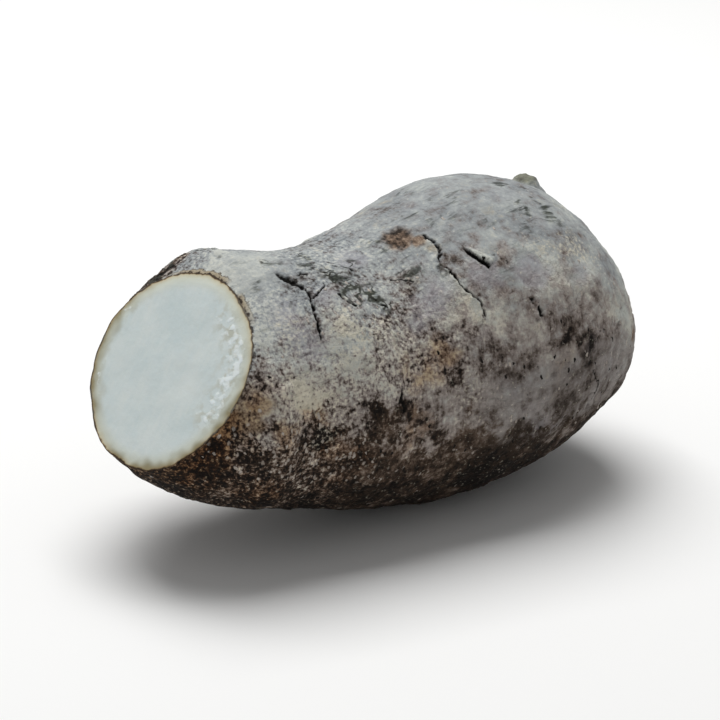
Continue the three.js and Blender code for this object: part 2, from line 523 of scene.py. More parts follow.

# Patches on the skin: along, turn, radius and strength. Less than nothing is the other way: darker instead
# of pale, lilac instead of rusty, and bare instead of dusty. A patch is whole within a share of its radius
# and gone at another. Some of them paint light and shade, as noted where they stand.
PATCH_FADES = (0.3, 1.3)
PATCHES = {
    "paler": [
        (-50, 4, 15, 0.9), (-42, 30, 9, 0.5), (-47, 44, 7, 0.25), (-38, -8, 11, 0.8), (-33, 2, 6, 0.4),
        # The pale patches at (-43, 68), (-37, 71), (-37, 76) and (-41, 66), low beside the cut, are also
        # lightened to paint light that falls there.
        (-28, 55, 9, 0.8), (-29, 75, 7, 0.7), (-20, 68, 7, 0.4), (-43, 68, 4, 1.0), (-37, 71, 5, 0.8),
        (-44, 91, 3, 0.4), (-37, 76, 4, 0.6), (-25, 46, 4, 0.4), (-21, 54, 3, 0.3), (31, 42, 5, 0.4),
        (50, 44, 5, 0.35), (-37, 37, 4, 0.35), (-41, 43, 3, -0.4), (-2, 41, 3.5, -0.35),
        # The darker patches at (-29.4, 27) and (-30.5, 15) paint a band of shade beside the neck crack.
        (-29.4, 27, 3, -0.5), (-30.5, 15, 2.6, -0.4), (-12, 72, 6, 0.35), (2, 52, 8, 0.3),
        (3, 87, 6, 0.45), (16, 71, 7, 0.5), (14, 45, 5, 0.4), (33, 55, 6, 0.6), (46, 52, 5, 0.5),
        (40, 67, 4, 0.3), (61, 72, 9, 0.6), (60, 50, 7, 0.6), (50, 26, 6, 0.5), (12, 64, 4, 0.7),
        (-41, 66, 6, 0.6), (37, 47, 4, 0.3), (8.5, 47, 2.2, 0.4), (8, 102, 12, 0.25), (44, 62, 8, 0.25),
        (54, 84, 8, 0.4), (8, 60, 9, 0.3), (-24, 50, 10, 0.25), (52, 14, 8, 0.4), (26, 15, 5, 0.3),
        (-5, 16, 4, 0.3), (-8, 38, 3, 0.3), (-11, 112, 6, 0.4), (-36, 58, 9, 0.3), (10, 66, 5, 0.3),
        (38, 58, 4, 0.3), (50, 70, 4, 0.3), (-48, 66, 5, 0.4), (-36, 122, 6, 0.3), (9.5, 56, 2.2, 0.5),
        (45, 32, 5, 0.4), (40, 17, 3, 0.3), (-23, 85, 3.4, -1.0), (-14.5, 88, 2.8, -1.0),
        (-36, 97, 4, -0.9), (-47, 84, 2.5, -0.5), (-55, 95, 4.5, -0.6), (-50, 112, 6, -0.6),
        (-58, 82, 4, -0.6), (-57, 72, 2.5, -0.4), (41, 38, 2, -0.3), (10, 82, 10, -0.35),
        (34, 96, 8, -0.2), (-62, 118, 6, -0.4), (-12, 25, 4, -0.3), (-52, -50, 4, -0.9),
        (-58, -62, 4, -0.8), (-47, -38, 3, -0.7), (-50, 58, 2.4, -0.4), (-8, 101, 5, -0.6),
        (-22, 104, 5, -0.3), (19, 110, 6, -0.4), (35, 72, 2.4, -0.7), (37, 82, 3.8, -0.8),
        (36.4, 87, 2.8, -0.6), (45, 60, 2.2, -0.7), (42, 66, 1.8, -0.6), (17, 74, 2.5, -0.4),
        (34, 76, 3, -0.5), (22, 62, 4, -0.3), (33, 99, 8, -0.35), (26, 76, 2.2, -0.5),
        (30, 78, 2.2, -0.5), (52, 56, 2.2, -0.4), (23.5, 60, 2, -0.5), (7, 33, 3.4, -0.8),
        (-14, 22, 4, -0.2), (-13, 30, 3, -0.5), (-8, -6, 7, -0.3), (10, -8, 10, -0.35), (-24, -8, 7, 0.4),
        (14, 126, 10, -0.6), (50, 66, 8, 0.3), (48, 31, 2, -0.3), (42, 5, 7, -0.4), (15, 33, 3, -0.3),
        (6, 24, 2.6, -0.4), (-25, 53, 6, 0.2)],
    "warmer": [
        (-6, 66, 6, 0.45), (0, 70, 4, 0.5), (45, 61, 4, 0.4), (-14, 58, 4, 0.2), (-11, 73, 6, 0.5),
        (-2, 80, 6, 0.3), (-12, 97, 6, 0.6), (-21, 92, 4, 0.5), (-51, 70, 4, 0.5), (-56, 80, 5, 0.7),
        (-61, 91, 5, 0.8), (-66, 108, 8, 0.9), (-65, 80, 6, 0.7), (-45, 92, 5, 0.6), (-40, 70, 4, 0.3),
        (42, 42, 8, 0.15), (-34, 86, 7, 0.4), (-30, 112, 8, 0.5), (-62, 124, 8, 0.9), (-50, 124, 8, 0.7),
        (-48, 82, 6, 0.4), (20, 108, 9, -0.3), (-18, 63, 5, -0.3), (30, 84, 6, 0.2), (6, 27, 3, 0.3),
        (26, 50, 6, -0.9), (14, 44, 5, -0.9), (-4, 50, 6, -0.8), (2, 45, 5, -0.6), (-26, 32, 4, -0.6),
        (-33, 50, 7, -0.5), (42, 56, 6, -0.5), (-38, 36, 7, -0.4), (-12, 12, 5, -0.5),
        (-18, 84, 4, -0.3)],
    "dustier": [
        (17.5, 38.5, 2.4, 0.6), (-41, 67, 5, -0.1), (40, 16, 4, 0.3), (-48, -42, 6, -1.1),
        (-52, -54, 5, -1.1), (-42.5, -35, 3.5, -1.0), (-57, -64, 5, -0.8), (20, 50, 4, 0.3),
        (58, 54, 6, 0.3)],
    "olive": [
        (38, 7, 3, 0.9), (34, 22, 4, 0.8), (35.5, 28, 3, 0.8), (32, 33, 2.5, 0.7), (42, 30, 4, 0.7),
        (42.5, 24, 3, 0.8), (20, 7, 5, 0.5), (18, -13, 3, 0.7), (16, 16, 3, 0.6), (11, 15, 3, 0.6),
        (24, 25, 2.5, 0.5), (10, 5, 3, 0.6), (-47, -41, 6, 0.9), (-31, 1, 2.5, 0.8), (-22, 0, 3, 0.7),
        (-24, 11, 3, 0.8), (6.2, 36, 3, 1.0), (-17, 24, 4, 0.5), (-14, 34, 4, 0.5), (-20.5, 18, 4, 0.6),
        (-13.5, 16, 2.5, 0.9), (-19.5, 24, 3, 0.9), (-19, 32, 3.5, 0.9), (-19.5, 38, 2.5, 0.7),
        (-13, 39, 3, 0.8), (-12, 44, 2.5, 0.6), (-35, 26, 3, 0.5), (-38.5, 12, 2.5, 0.6),
        (-2.5, 31, 3, 0.8), (0.5, 35, 2.5, 0.7), (-3, 12, 2.5, 0.8)],
    "grit": [
        (-56, 86, 7, 0.8), (-48, 100, 9, 1.0), (-38, 108, 9, 1.0), (-28, 106, 9, 0.9), (-36, 92, 5, 0.7),
        (-22, 118, 9, 0.7), (-22, 50, 9, 0.7), (-24, 34, 5, 0.5), (-40, 70, 7, 0.4), (5, 104, 8, 0.3),
        (14, 60, 8, 0.2)],
    "sandy": [
        # The sandy patches at (-40, 69.5) and (-36.5, 76) are also lightened to paint light that falls there.
        (-40, 69.5, 3.8, 1.4), (-36.5, 76, 3.4, 0.8), (-25, 46, 4, 0.7), (-24, 57, 5, 0.3),
        (-21, 54, 4, 0.4), (-27, 64, 4, 0.25), (-30, 60, 5, 0.2), (-37, 40, 6, 0.35), (-34, 82, 5, 0.3),
        (-15, 52, 5, 0.35), (8, 52, 2.5, 0.4), (9.5, 60, 2.5, 0.5), (31, 42, 5, 0.25), (36, 45, 5, 0.25),
        (43, 45, 5, 0.4), (48, 50, 5, 0.3), (-36, 98, 4, 0.3), (-12, 66, 5, 0.3), (2, 88, 5, 0.3)],
}

# The side that faces +Y has this many patches of each kind, and fainter ones of some kinds.
PATCHES_BEHIND = 14
FAINT_BEHIND = {"dustier": 0.6, "sandy": 0.6}


def patches_behind():
    """Patches of every kind for the side that faces +Y, the same every time."""
    pick_from = random.Random(11)
    made = {}
    for kind in PATCHES:
        signed = (-1, 1) if kind in ("paler", "warmer", "dustier") else (1,)
        made[kind] = [
            (pick_from.uniform(-60, 66), pick_from.uniform(-175, -35), pick_from.uniform(2.5, 8),
             FAINT_BEHIND.get(kind, 1.0) * pick_from.choice(signed) * pick_from.uniform(0.3, 0.8))
            for _ in range(PATCHES_BEHIND)]
    return made


def covered(points):
    """How dusty, pale, warm, olive, gritty and sandy the skin is at each point; below the dust lie damp and
    painted shade.
    """
    along, up = points[:, 0], points[:, 2] - AXIS_HEIGHT
    from_axis = np.maximum(np.hypot(points[:, 1], up), TIP_RADIUS)
    turn = np.degrees(np.arccos(np.clip(up / from_axis, -1, 1)))
    wander = 20 * grain(points, 13, 31) + 14 * grain(points, 5, 32)
    wander = turn + wander * (1 - 0.6 * between(0, 20, along) * between(70, 90, turn))
    past_dust = wander - np.interp(along, ALONG, DUST_ENDS)
    past_damp_shade = wander - np.interp(along, ALONG, DAMP_SHADE_BEGINS)
    damp_shade_fringe = DAMP_SHADE_FRINGE + 12 * between(0, 20, along)
    bared = between(-DUST_FRINGE, DUST_FRINGE, past_dust) + between(-damp_shade_fringe, damp_shade_fringe, past_damp_shade)
    cover = {"dust_and_shade": 1 - 0.5 * bared}
    blurred = points + 2.4 * shaken_by(points, 4.5, 33) + 1.2 * shaken_by(points, 1.9, 36)
    behind = patches_behind()
    for kind, patches in PATCHES.items():
        cover[kind] = np.zeros(len(points))
        for *place, radius, strength in patches + behind[kind]:
            out = away(blurred, place) / radius
            cover[kind] += strength * (1 - between(*PATCH_FADES, out))
    # Paler and darker at random, and darker low on the belly, which is painted shade under it.
    cover["paler"] += 0.4 * grain(points, 8, 39) - 0.6 * between(106, 140, turn)
    cover["warmer"] += 0.45 * grain(points, 8, 40)
    cover["dust_and_shade"] += cover.pop("dustier") + 0.3 * np.minimum(cover["paler"] + 0.3, 0)
    return {kind: np.clip(values, -1, 1) for kind, values in cover.items()}


# ---- the relief

# Warts and pits: how many, and the least and the most radius.
WARTS = 260
WART_RADIUS = (0.7, 1.8)

# The old rings crowd together from this far along.
RINGS_CROWD = 54.0

# The radius of the rod on which patterns are drawn out round the tuber.
ROD = 7.0

# How far from the rim of the cut its nearness is measured.
RIM_REACH = 12.0


def warted(points):
    """Small warts and pits scattered over the skin, the same every time: their relief, and the painted shade
    in the pits.
    """
    places, sizes = random.Random(4), random.Random(5)
    relief, pits_and_shade = np.zeros(len(points)), np.zeros(len(points))
    for _ in range(WARTS):
        spot = np.array(on_skin(places.uniform(-62, 68), places.uniform(-180, 180)))
        radius, kind = sizes.uniform(*WART_RADIUS), sizes.random()
        near = np.flatnonzero((np.abs(points - spot) < 3 * radius).all(axis=1))
        out = np.linalg.norm(points[near] - spot, axis=1) / radius
        if kind < 0.55:
            relief[near] += 0.3 * hump(out, 1) - 0.2 * hump(out, 0.35)
        else:
            relief[near] += 0.12 * hump(out - 1.2, 0.4) - 0.3 * hump(out, 0.7)
            pits_and_shade[near] = np.maximum(pits_and_shade[near], hump(out, 0.6))
    return relief, pits_and_shade


def rolled_up(points):
    """The points squeezed to a thin rod, on which a pattern is drawn out round the tuber."""
    turn = turn_of(points)
    squeezed = ROD * np.clip(np.hypot(points[:, 1], points[:, 2] - AXIS_HEIGHT) / 25, 0, 1)
    return np.stack([points[:, 0], squeezed * np.sin(turn), squeezed * np.cos(turn)], axis=1)


def raised(points, marks, cover):
    """The relief of the skin, its finer part alone, which is also painted as shade, and the painted shade in
    its hollows.
    """
    rolled = rolled_up(points)
    combed = points * np.array([0.2, 1, 1])
    crusty = 0.3 + 0.7 * (1 - between(0.55, 0.95, cover["dust_and_shade"]))

    # Lumps and shallow dents, wrinkles round the tuber and along its neck, and the crowded rings.
    lumps = 0.75 * grain(points, 24, 11) + 0.5 * grain(points, 11, 12) + 0.3 * grain(points, 5, 13) * crusty
    round_it = 0.28 * grain(rolled, 2.6, 14) * (0.4 + 0.6 * crusty)
    neck = between(-25, -50, points[:, 0])
    along_it = (0.1 + 0.16 * neck) * grain(combed, 1.9, 16)
    crowded = between(RINGS_CROWD, RINGS_CROWD + 9, points[:, 0])
    rings = 0.22 * grain(rolled * np.array([1, 0.3, 0.3]), 1.5, 20) * crowded

    # A crust that has dried into small plates, with grains on them, and painted shade in the grooves between.
    plates = np.abs(grain(points + 0.6 * grain(points, 1.7, 26)[:, None], 3.6, 25))
    grooves = (1 - between(0, 0.16, plates)) * crusty
    grains = (0.13 * grain(points, 2.2, 18) + 0.1 * grain(points, 1.3, 19)) * crusty
    warts, pits_and_shade = warted(points)
    fine = round_it + along_it + rings + grains + warts - 0.22 * grooves
    pit_and_groove_shade = np.maximum(0.45 * pits_and_shade, 0.26 * grooves)
    return lumps + fine + marks["relief"], fine + marks["relief"], pit_and_groove_shade, crusty


def round_cut(points, middle):
    """How far round the cut each point is: degrees from the top of the cut face, growing towards -Y."""
    off = points - middle
    return np.degrees(np.arctan2(-off @ CUT_SIDE, off @ CUT_UP))


def relieved(piece):
    """Raises the relief of the skin and the cut face, and keeps what the finishes need to know."""
    points, outward = corners(piece), facing(piece)
    flesh, rim = cut_face(piece)
    marks = marked(points)
    cover = covered(points)
    from_rim = apart(points, points[rim], RIM_REACH)
    relief, fine, pit_and_groove_shade, crusty = raised(points, marks, cover)

    # The relief dies away at the rim and under the belly. The peel curls up a little beside the cut.
    bud = 1 - between(0.6, 1.3, away(points, BUD) / BUD_REACH)
    relief += bud * (0.5 * grain(points, 2.4, 27) + 0.25 * grain(points, 1.1, 28))
    calm = between(0.1, 2.6, from_rim) * (0.15 + 0.85 * between(0.2, 3.0, points[:, 2]))
    middle = points[flesh].mean(axis=0)
    round_by = round_cut(points, middle)
    peel = window(-40, -14, 42, 62, round_by) * between(-0.4, 0.1, grain(points, 6, 41))
    curl = (0.3 + 0.7 * peel) * (0.16 * hump(from_rim - 0.9, 0.35) - 0.2 * hump(from_rim - 1.5, 0.25))
    moved = points + outward * ((relief * calm + curl) * ~flesh)[:, None]

    # The knife left the rim a little ragged, and the flesh bulges a little inside it.
    across = on_cut(points) - middle
    across /= np.linalg.norm(across, axis=1)[:, None] + 1e-9
    wander = 0.4 * grain(points, 5, 21) + 0.14 * grain(points, 1.6, 22)
    moved += across * (wander * hump(from_rim, 1.6))[:, None]
    bulge = 0.3 * between(0, 3, from_rim) + 0.12 * grain(points, 8, 23) + 0.04 * grain(points, 2.5, 24)
    moved += np.array(CUT_FACES) * (bulge * between(0, 1.2, from_rim) * (flesh & ~rim))[:, None]
    moved[:, 2] = np.maximum(moved[:, 2], 0)
    move_corners(piece, moved)

    # Earth sticks to the skin below the cut, and its brown bleeds into the flesh there and on the left.
    below = between(55, 90, round_by) + between(-150, -170, round_by)
    soiled = between(70, 100, round_by) + between(-150, -170, round_by)
    soiled *= 1 - between(4, 11, from_rim + 5 * grain(points, 4, 43))
    uneven = from_rim + 2.2 * grain(points, 3, 42)
    bleed = window(-145, -125, -75, -30, round_by) * (1 - between(-0.5, 4.2, uneven))
    bleed += 0.9 * below * (1 - between(0, 2.4, uneven))

    # Juice beads inside the rim, most of all on the right, where their white is painted glints.
    juice_and_glints = hump(from_rim - 4.8, 3.8) * window(5, 40, 110, 135, round_by)
    juice_and_glints += 0.6 * hump(from_rim - 2.2, 2.0) * window(-145, -125, -60, -35, round_by)

    # The grain is clear on the cut half. It is even on top of the neck, beside the big scar, and low on the
    # far half.
    along, turn = points[:, 0], np.abs(np.degrees(turn_of(points)))
    clear = 1.15 * (1 - between(-20, 26, along))
    clear *= 1 - 0.7 * between(72, 90, turn) * between(-40, -20, along)
    even = between(-5, 15, along) * window(76, 90, 112, 124, turn)
    even += 1.4 * (1 - between(-32, -22, along)) * (1 - between(8, 24, turn))
    even += 0.5 * hump(along - 6, 14) * (1 - between(16, 34, turn))
    even *= 1 - marks["scarred"]

    # The knife drew fine lines across the cut face.
    sliced = np.stack([points @ CUT_SIDE, 0.16 * (points @ CUT_UP), np.zeros(len(points))], axis=1)
    # The finer relief is kept for painted shade in the skin's colour, the dark of gaps, creases and hollows
    # as painted shade, and the pale of lips and tongues, partly as painted light.
    kept = {
        **cover, "fine_relief": fine, "crusty": crusty, "root_scar": marks["scarred"], "from_rim": from_rim,
        "hollow_shade": np.maximum(np.clip(marks["painted_shade"], 0, 1), pit_and_groove_shade), "lip": np.clip(marks["pale_and_lit"], 0, 1),
        "rolled": rolled_up(points) * MM, "peel": peel, "juice_and_glints": juice_and_glints, "clear": clear, "even": even,
        "sliced": sliced * MM, "bleed": bleed, "soiled": soiled, "bud": bud}
    for name, values in kept.items():
        saved(piece, name, values)


# ---- the bake map

# The map is a sheet for the rolled skin along the top, and a square for each end below it: how tall and
# how wide they are, where the squares lie, and the millimetres across each.
SHEET_TALL, END_WIDE = 0.66, 0.31
CUT_AT, FAR_AT = (0.17, 0.17), (0.5, 0.17)
CUT_ACROSS, FAR_ACROSS = 54.0, 52.0


def bake_map(piece, points):
    """Lays the tuber out flat: its rolled skin as one sheet, and its cut face and far end below that."""
    sheet = piece.data.uv_layers[0]
    sheet.name = "OFBake"
    places = read_all(sheet.data, "uv", 2, np.float32)
    sides = read_all(piece.data.polygons, "loop_total", kind=int)
    finish = np.repeat(read_all(piece.data.polygons, "material_index", kind=int), sides)
    vertex = read_all(piece.data.loops, "vertex_index", kind=int)
    places[finish == SKIN, 1] = 1 - (1 - places[finish == SKIN, 1]) * 2 * SHEET_TALL

    on_face = points[vertex[finish == FLESH]] - points[in_faces(piece, FLESH)].mean(axis=0)
    flat = np.stack([on_face @ CUT_SIDE, on_face @ CUT_UP], axis=1) / CUT_ACROSS
    places[finish == FLESH] = flat * END_WIDE + CUT_AT

    on_end = points[vertex[finish == FAR_END]] - np.array(FAR_TIP)
    chord = np.linalg.norm(on_end, axis=1)
    radius = np.linalg.norm(on_end[:, 1:], axis=1) + 1e-9
    flat = on_end[:, 1:] * (chord / radius)[:, None] / FAR_ACROSS
    places[finish == FAR_END] = flat * END_WIDE + FAR_AT
    sheet.data.foreach_set("uv", places.ravel())
    for face in piece.data.polygons:
        if face.material_index == FAR_END:
            face.material_index = SKIN


# ---- finishes

MATH, MIX, RAMP = "ShaderNodeMath", "ShaderNodeMix", "ShaderNodeValToRGB"
NOISE, VORONOI, RANGE = "ShaderNodeTexNoise", "ShaderNodeTexVoronoi", "ShaderNodeMapRange"
KEPT, VECTOR_MATH, SHADER = "ShaderNodeAttribute", "ShaderNodeVectorMath", "ShaderNodeBsdfPrincipled"
SMOOTH = {"interpolation_type": "SMOOTHSTEP"}
SUM = {"operation": "MULTIPLY_ADD"}
PLUS, TIMES, LESS = {"operation": "ADD"}, {"operation": "MULTIPLY"}, {"operation": "LESS_THAN"}
BLEND, TINT = {"data_type": "RGBA"}, {"data_type": "RGBA", "blend_type": "MULTIPLY"}


def paint(hex_code):
    """A colour from its sRGB hex code, turned linear."""
    channels = [int(hex_code[i:i + 2], 16) / 255 for i in (1, 3, 5)]
    linear = [c / 12.92 if c <= 0.04045 else ((c + 0.055) / 1.055) ** 2.4 for c in channels]
    return (*linear, 1)


def every(millimetres):
    """The scale that makes a pattern on metre coordinates repeat about every so many millimetres."""
    return 1000 / millimetres


def add(tree, kind, settings=None, inputs=(), stops=()):
    """Adds a node with its settings, its inputs in order or by name, as values or links, and its stops."""
    node = tree.nodes.new(kind)
    for name, value in (settings or {}).items():
        setattr(node, name, value)
    for spare in list(node.color_ramp.elements)[1:] if stops else ():
        node.color_ramp.elements.remove(spare)
    for i, (place, shade) in enumerate(stops):
        stop = node.color_ramp.elements.new(place) if i else node.color_ramp.elements[0]
        stop.position, stop.color = place, paint(shade)
    for name, value in inputs.items() if isinstance(inputs, dict) else enumerate(inputs):
        wanted = [s for s in node.inputs if s.enabled and s.name == name]
        socket = node.inputs[name] if isinstance(name, int) else wanted[0]
        if isinstance(value, bpy.types.Node):
            value = next(s for s in value.outputs if s.enabled)
        if isinstance(value, bpy.types.NodeSocket):
            tree.links.new(value, socket)
        else:
            socket.default_value = value
    return node


def new_finish(name):
    """A new material with an empty node tree and its output node."""
    material = bpy.data.materials.new(name)
    material.use_nodes = True
    tree = material.node_tree
    tree.nodes.clear()
    return material, tree, tree.nodes.new("ShaderNodeOutputMaterial")


def skin_patterns(tree):
    """The patterns that the skin is made of: soft mottles, fibres, and crumbs of soil and cork."""
    place = add(tree, "ShaderNodeTexCoord").outputs["Object"]
    rolled = add(tree, KEPT, {"attribute_name": "rolled"}).outputs["Vector"]
    combed = add(tree, "ShaderNodeMapping", {}, {"Vector": place, "Scale": (0.26, 1, 1)})
    jolt = add(tree, NOISE, {}, {"Vector": place, "Scale": every(1.3), "Detail": 2, "Roughness": 0.6})
    shaken = add(tree, VECTOR_MATH, SUM, [jolt.outputs["Color"], (1.5 * MM,) * 3, place])
    drawn_out = add(tree, VECTOR_MATH, SUM, [rolled, (0.8,) * 3, shaken])
    look = {}

    # Clouds: what each is laid on, its size in millimetres, its detail, its roughness and its distortion.
    for name, laid_on, size, detail, rough, bent in (
            ("cloud", place, 9, 3, 0.6, 0), ("mottle", place, 3.6, 3, 0.65, 0),
            ("fine", place, 1.5, 3, 0.75, 0), ("speckle", place, 0.85, 2, 0.6, 0),
            ("fibre", rolled, 0.9, 3, 0.65, 0.3), ("stroke", combed, 2.1, 3, 0.65, 0.9),
            ("winding", shaken, 3.4, 1, 0.5, 0)):
        look[name] = add(tree, NOISE, {}, {
            "Vector": laid_on, "Scale": every(size), "Detail": detail, "Roughness": rough,
            "Distortion": bent})
    off_line = add(tree, MATH, {"operation": "SUBTRACT"}, [look["winding"], 0.5])
    look["scrawl"] = add(tree, MATH, {"operation": "ABSOLUTE"}, [off_line])

    # Crumbs and flecks: what each is laid on, and its size in millimetres.
    for name, laid_on, size in (("crumb", shaken, 1.15), ("fleck", drawn_out, 1.7)):
        cells = add(tree, VORONOI, {"feature": "F1"}, {"Vector": laid_on, "Scale": every(size)})
        picks = add(tree, "ShaderNodeSeparateColor", {}, {"Color": cells.outputs["Color"]})
        look[name], look[name + "_again"] = picks.outputs[0], picks.outputs[1]
        look[name + "_edge"] = cells.outputs["Distance"]
    return look


def corky_skin():
    """Dry, corky root skin: matt and granular, greyed by dust on top, brown to black and gritty below.

    The black below is partly painted shade, and the black of its gaps, pits and grooves is painted shade.
    """
    material, tree, output = new_finish("dusty_corky_root_skin")
    look = skin_patterns(tree)
    kept = {name: add(tree, KEPT, {"attribute_name": name}).outputs["Fac"] for name in (
        "fine_relief", "crusty", "hollow_shade", "lip", "root_scar", "from_rim", "dust_and_shade", "paler", "warmer",
        "olive", "grit", "sandy", "bud", "peel", "clear", "even", "soiled")}

    # How light each spot is, about 0.5: fine grain, crumbs, fibres round the tuber, mottles, the relief and
    # the patches. The fine part is clear on the cut half and weaker beyond it. The relief is painted shade,
    # darker in its hollows and lighter on its ridges. The lips of leaf scars and the tongues of flakes are
    # paler, partly as painted light.
    small = -1.0
    for name, weight in (("fine", 1.0), ("crumb", 0.2), ("fibre", 0.8)):
        small = add(tree, MATH, SUM, [look[name], weight, small])
    clearly = add(tree, RANGE, {}, {"Value": kept["clear"], "To Min": 0.48, "To Max": 1.15})
    small = add(tree, MATH, TIMES, [small, clearly])
    speckle = add(tree, MATH, SUM, [look["speckle"], 1.8, -0.9])
    small = add(tree, MATH, SUM, [speckle, kept["clear"], small])
    tone = -1.0
    for part, weight in (
            (look["mottle"], 1.2), (look["cloud"], 0.8), (small, 1.0), (kept["fine_relief"], 0.35)):
        tone = add(tree, MATH, SUM, [part, weight, tone])
    evenly = add(tree, RANGE, {}, {"Value": kept["even"], "From Max": 1.4, "To Min": 1.0, "To Max": 0.25})
    tone = add(tree, MATH, SUM, [tone, evenly, 0.49])
    for name, weight in (("paler", 0.36), ("lip", 0.34)):
        tone = add(tree, MATH, SUM, [kept[name], weight, tone])

    # Three covers: grey dust, taupe cork, and damp dark cork, whose dark is partly painted shade.
    dust = add(tree, RAMP, {}, {"Fac": tone}, [
        (0.05, "#5f6466"), (0.3, "#868b8e"), (0.5, "#979b9c"), (0.72, "#a8acaa"), (0.95, "#bfc1ba")])
    thinly = add(tree, MATH, SUM, [kept["dust_and_shade"], 0.4, -0.2])
    thinly = add(tree, MATH, PLUS, [tone, thinly])
    cork = add(tree, RAMP, {}, {"Fac": thinly}, [
        (0.05, "#2e2622"), (0.3, "#6a5f58"), (0.5, "#928882"), (0.7, "#aca299"), (0.93, "#dcd1bd")])
    damp_and_shade = add(tree, RAMP, {}, {"Fac": tone}, [
        (0.1, "#16100c"), (0.38, "#3a2d23"), (0.54, "#5e4e42"), (0.74, "#86776b"), (0.94, "#b5a99e")])
    zone = -0.65
    for part, weight in ((look["mottle"], 0.8), (tone, 0.5), (kept["dust_and_shade"], 1.0)):
        zone = add(tree, MATH, SUM, [part, weight, zone])
    from_damp_shade = add(tree, RANGE, SMOOTH, {"Value": zone, "From Min": 0.08, "From Max": 0.42})
    to_dust = add(tree, RANGE, SMOOTH, {"Value": zone, "From Min": 0.42, "From Max": 1.05})
    greyer = add(tree, MATH, TIMES, [kept["even"], 0.5])

    # Rusty and lilac patches, sandy specks of pale dry cork, and red-brown earth below the cut.
    rusty = add(tree, MATH, SUM, [look["mottle"], 1.6, kept["warmer"]])
    rusty = add(tree, RANGE, SMOOTH, {"Value": rusty, "From Min": 0.95, "From Max": 1.7, "To Max": 0.85})
    lilac = add(tree, RANGE, SMOOTH, {
        "Value": kept["warmer"], "From Min": -0.1, "From Max": -0.8, "To Max": 0.45})
    lilac = add(tree, MATH, TIMES, [lilac, from_damp_shade])
    sandy = add(tree, MATH, SUM, [look["speckle"], 2.4, kept["sandy"]])
    sandy = add(tree, RANGE, SMOOTH, {"Value": sandy, "From Min": 1.4, "From Max": 2.2, "To Max": 0.8})
    earthy = add(tree, MATH, TIMES, [kept["soiled"], 0.8])

    # Scars of roots are brown, with dark spots.
    scar = add(tree, RAMP, {}, {"Fac": tone}, [
        (0.15, "#2f2720"), (0.42, "#645346"), (0.65, "#877464"), (0.9, "#a89684")])

    # Olive-dark strokes along the dusty top, short and soft, with a fine dark scrawl where they crowd.
    strokes = add(tree, MATH, SUM, [kept["olive"], 0.18, look["stroke"]])
    strokes = add(tree, RANGE, SMOOTH, {"Value": strokes, "From Min": 0.55, "From Max": 0.76})
    stained = add(tree, MATH, SUM, [kept["olive"], 0.6, 0.4])
    stained = add(tree, MATH, TIMES, [strokes, stained])
    scrawl = add(tree, RANGE, SMOOTH, {
        "Value": look["scrawl"], "From Min": 0.06, "From Max": 0.018, "To Max": 0.9})
    crowded = add(tree, RANGE, SMOOTH, {"Value": kept["olive"], "From Min": 0.2, "From Max": 0.8})
    for part in (crowded, kept["clear"]):
        scrawl = add(tree, MATH, TIMES, [scrawl, part])

    # Pits painted black as shade, most of them in the darker patches, and pale grains of sand and cork.
    near_middle = add(tree, MATH, SUM, [look["fine"], -0.9, look["fleck_edge"]])
    near_middle = add(tree, RANGE, {}, {"Value": near_middle, "From Min": 0.0, "From Max": -0.15})
    unlike = add(tree, RANGE, {}, {
        "Value": look["mottle"], "From Min": 0.35, "From Max": 0.6, "To Min": 0.25})
    pit_share, grit_share = -0.07, -0.01
    for name, weight in (("paler", -0.12), ("crusty", 0.1)):
        pit_share = add(tree, MATH, SUM, [kept[name], weight, pit_share])
    for name, weight in (("grit", 0.34), ("crusty", 0.05)):
        grit_share = add(tree, MATH, SUM, [kept[name], weight, grit_share])
    pits_and_shade = add(tree, MATH, LESS, [look["fleck_again"], pit_share])
    pits_and_shade = add(tree, MATH, TIMES, [pits_and_shade, near_middle])
    grit = add(tree, MATH, LESS, [look["fleck"], grit_share])
    for part in (near_middle, unlike):
        grit = add(tree, MATH, TIMES, [grit, part])

    # Painted shade in the cracks, creases, slits, pits and grooves, and the cut edge of the peel: a dark
    # line, a pale band and a dark line.
    broken_hollow_shade = add(tree, MATH, SUM, [look["fine"], 1.6, 0.2])
    broken_hollow_shade = add(tree, MATH, TIMES, [kept["hollow_shade"], broken_hollow_shade])
    hollow_shade = add(tree, RANGE, {}, {"Value": broken_hollow_shade, "From Min": 0.18, "From Max": 0.65})
    edge = add(tree, MATH, SUM, [look["fine"], 3.2, kept["from_rim"]])
    edge = add(tree, MATH, SUM, [edge, 0.25, -0.4])
    band = add(tree, RAMP, {}, {"Fac": edge}, [
        (0.02, "#33271c"), (0.1, "#8f7f66"), (0.26, "#a89c84"), (0.35, "#453a2f"), (0.44, "#6d6357")])
    peeled = add(tree, RANGE, SMOOTH, {"Value": edge, "From Min": 0.46, "From Max": 0.36, "To Max": 0.9})
    peeled = add(tree, MATH, TIMES, [peeled, kept["peel"]])
    faint = add(tree, MATH, SUM, [kept["soiled"], 0.08, edge])
    rim_line = add(tree, RANGE, SMOOTH, {"Value": faint, "From Min": 0.12, "From Max": 0.0, "To Max": 0.85})

